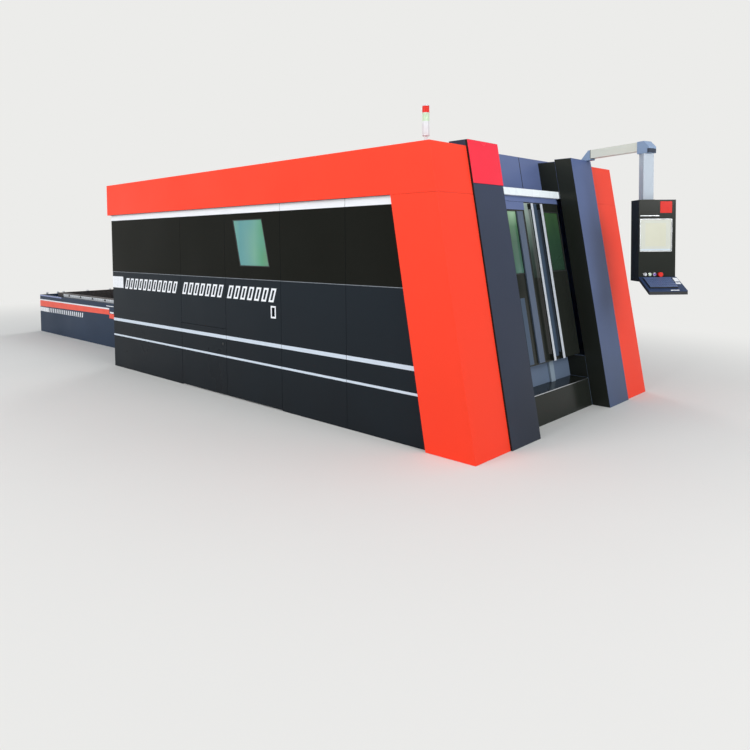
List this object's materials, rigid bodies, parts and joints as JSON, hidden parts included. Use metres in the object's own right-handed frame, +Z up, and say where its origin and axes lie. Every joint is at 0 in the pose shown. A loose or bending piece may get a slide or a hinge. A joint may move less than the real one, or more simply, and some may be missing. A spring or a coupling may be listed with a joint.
{
  "type": "fiber laser cutting machine",
  "caption": "Enclosed sheet-metal laser cutter with a leaning portal front, sliding doors, a gantry over a bed, a two-level pallet exchange table and a swivelling control pendant.",
  "frame": {"origin": "on the floor under the middle of the enclosure, at the underside of the bed's centre foot", "axes": "+X towards the portal front, -X towards the exchange table, -Y the long side with the signal tower, +Z up"},
  "size_m": [10.3658, 2.96, 2.5379],
  "materials": {
    "signal_red": "satin red powder coat",
    "cap_red": "gloss pinkish-red paint",
    "dark_slate": "semi-gloss dark slate paint with a black upper zone and pale stripes",
    "slate_blue": "semi-gloss slate blue paint",
    "gloss_black": "gloss black paint",
    "light_white": "satin white paint",
    "laser_glass": "green laser safety glazing",
    "machine_grey": "matte machine grey paint",
    "dark_steel": "bare dark steel",
    "aluminium": "milled aluminium",
    "copper": "turned copper",
    "ivory": "satin ivory paint",
    "pale_blue_grey": "satin pale blue-grey paint",
    "tray_blue_grey": "satin blue-grey paint",
    "light_grey": "moulded light grey plastic",
    "screen": "lit pale screen",
    "green_lens": "pale green translucent plastic",
    "violet_button": "violet plastic",
    "stop_red": "red plastic",
    "black_plastic": "matte black plastic"
  },
  "bodies": {
    "machine": {"enclosure_frame": "machine_grey", "exchange_table": "dark_slate", "far_column_cover": "signal_red", "far_fascia": "signal_red", "far_front_panel": "dark_slate", "far_hatch_panel": "dark_slate", "far_middle_panel": "dark_slate", "far_pillar": "slate_blue", "far_rear_panel": "dark_slate", "front_header": "slate_blue", "front_light_bar": "light_white", "front_wall": "slate_blue", "kick_panel": "slate_blue", "machine_bed": "machine_grey", "near_column_cover": "signal_red", "near_fascia": "signal_red", "near_front_panel": "dark_slate", "near_hatch_panel": "dark_slate", "near_middle_panel": "dark_slate", "near_pillar": "slate_blue", "near_pillar_cap": "cap_red", "near_rear_panel": "dark_slate", "rear_wall": "dark_slate", "roof_panel": "dark_slate", "signal_lens_green": "green_lens", "signal_lens_red": "stop_red", "signal_tower_body": "light_grey", "sill_step": "gloss_black"},
    "near_door": {"near_side_door": "dark_slate", "near_door_glass": "laser_glass"},
    "far_door": {"far_side_door": "dark_slate", "far_door_glass": "laser_glass"},
    "near_hatch": {"near_service_hatch": "dark_slate"},
    "far_hatch": {"far_service_hatch": "dark_slate"},
    "near_leaf": {"near_front_leaf": "gloss_black", "near_front_leaf_glass": "laser_glass"},
    "far_leaf": {"far_front_leaf": "gloss_black", "far_front_leaf_glass": "laser_glass"},
    "shutter": {"rear_shutter": "slate_blue"},
    "gantry": {"gantry_beam": "machine_grey", "near_gantry_drive": "gloss_black", "far_gantry_drive": "gloss_black"},
    "carriage": {"head_carriage": "aluminium"},
    "head": {"z_slide": "aluminium", "cutting_head": "gloss_black", "head_nozzle": "copper"},
    "upper_pallet": {"outer_pallet": "dark_steel"},
    "lower_pallet": {"inner_pallet": "dark_steel"},
    "arm": {"arm_foot": "pale_blue_grey", "arm_beam": "ivory", "arm_elbow": "pale_blue_grey"},
    "pendant": {"drop_tube": "ivory", "pendant_housing": "gloss_black", "pendant_screen": "screen", "console_tray": "tray_blue_grey", "keyboard": "black_plastic"},
    "stop": {"emergency_stop": "stop_red"},
    "start": {"start_button": "green_lens"},
    "reset": {"reset_button": "violet_button"},
    "selector": {"selector_switch": "aluminium"}
  },
  "joints": [
    {"name": "near_door_hinge", "type": "hinge", "parent": "machine", "child": "near_door", "pos_m": [-0.2665, -1.441, 0.9], "axis": [0, 0, -1], "range_deg": [0, 100]},
    {"name": "far_door_hinge", "type": "hinge", "parent": "machine", "child": "far_door", "pos_m": [-0.2665, 1.441, 0.9], "axis": [0, 0, 1], "range_deg": [0, 100]},
    {"name": "near_hatch_hinge", "type": "hinge", "parent": "machine", "child": "near_hatch", "pos_m": [-1.1135, -1.441, 0.34], "axis": [0, 0, -1], "range_deg": [0, 100]},
    {"name": "far_hatch_hinge", "type": "hinge", "parent": "machine", "child": "far_hatch", "pos_m": [-1.1135, 1.441, 0.34], "axis": [0, 0, 1], "range_deg": [0, 100]},
    {"name": "near_leaf_slide", "type": "slide", "parent": "machine", "child": "near_leaf", "axis": [0, -1, 0], "range_m": [0, 0.44]},
    {"name": "far_leaf_slide", "type": "slide", "parent": "machine", "child": "far_leaf", "axis": [0, 1, 0], "range_m": [0, 0.44]},
    {"name": "shutter_slide", "type": "slide", "parent": "machine", "child": "shutter", "axis": [0, 0, 1], "range_m": [-0.6, 0]},
    {"name": "gantry_slide", "type": "slide", "parent": "machine", "child": "gantry", "axis": [1, 0, 0], "range_m": [-3.45, 0.33]},
    {"name": "carriage_slide", "type": "slide", "parent": "gantry", "child": "carriage", "axis": [0, 1, 0], "range_m": [-0.74, 0.74]},
    {"name": "head_lift", "type": "slide", "parent": "carriage", "child": "head", "axis": [0, 0, 1], "range_m": [-0.035, 0.1]},
    {"name": "upper_pallet_slide", "type": "slide", "parent": "machine", "child": "upper_pallet", "axis": [1, 0, 0], "range_m": [0, 4.82]},
    {"name": "lower_pallet_slide", "type": "slide", "parent": "machine", "child": "lower_pallet", "axis": [1, 0, 0], "range_m": [-4.82, 0]},
    {"name": "arm_swivel", "type": "hinge", "parent": "machine", "child": "arm", "pos_m": [2.33, 0.999, 2.3003], "axis": [0, 0, 1], "range_deg": [-15, 45]},
    {"name": "pendant_swivel", "type": "hinge", "parent": "arm", "child": "pendant", "pos_m": [3.0097, 0.7748, 2.288], "axis": [0, 0, 1], "range_deg": [-60, 60]},
    {"name": "stop_press", "type": "slide", "parent": "pendant", "child": "stop", "axis": [-0.7071, 0.7071, 0], "range_m": [0, 0.005], "stiffness_N_per_m": 800, "springref_m": -0.001},
    {"name": "start_press", "type": "slide", "parent": "pendant", "child": "start", "axis": [-0.7071, 0.7071, 0], "range_m": [0, 0.004], "stiffness_N_per_m": 500, "springref_m": -0.001},
    {"name": "reset_press", "type": "slide", "parent": "pendant", "child": "reset", "axis": [-0.7071, 0.7071, 0], "range_m": [0, 0.004], "stiffness_N_per_m": 500, "springref_m": -0.001},
    {"name": "selector_turn", "type": "hinge", "parent": "pendant", "child": "selector", "pos_m": [3.05177, 0.65777, 1.2237], "axis": [-0.7071, 0.7071, 0], "range_deg": [-45, 45]}
  ],
  "couplings": [
    {"joint": "lower_pallet_slide", "follows": "upper_pallet_slide", "ratio": -1}
  ]
}
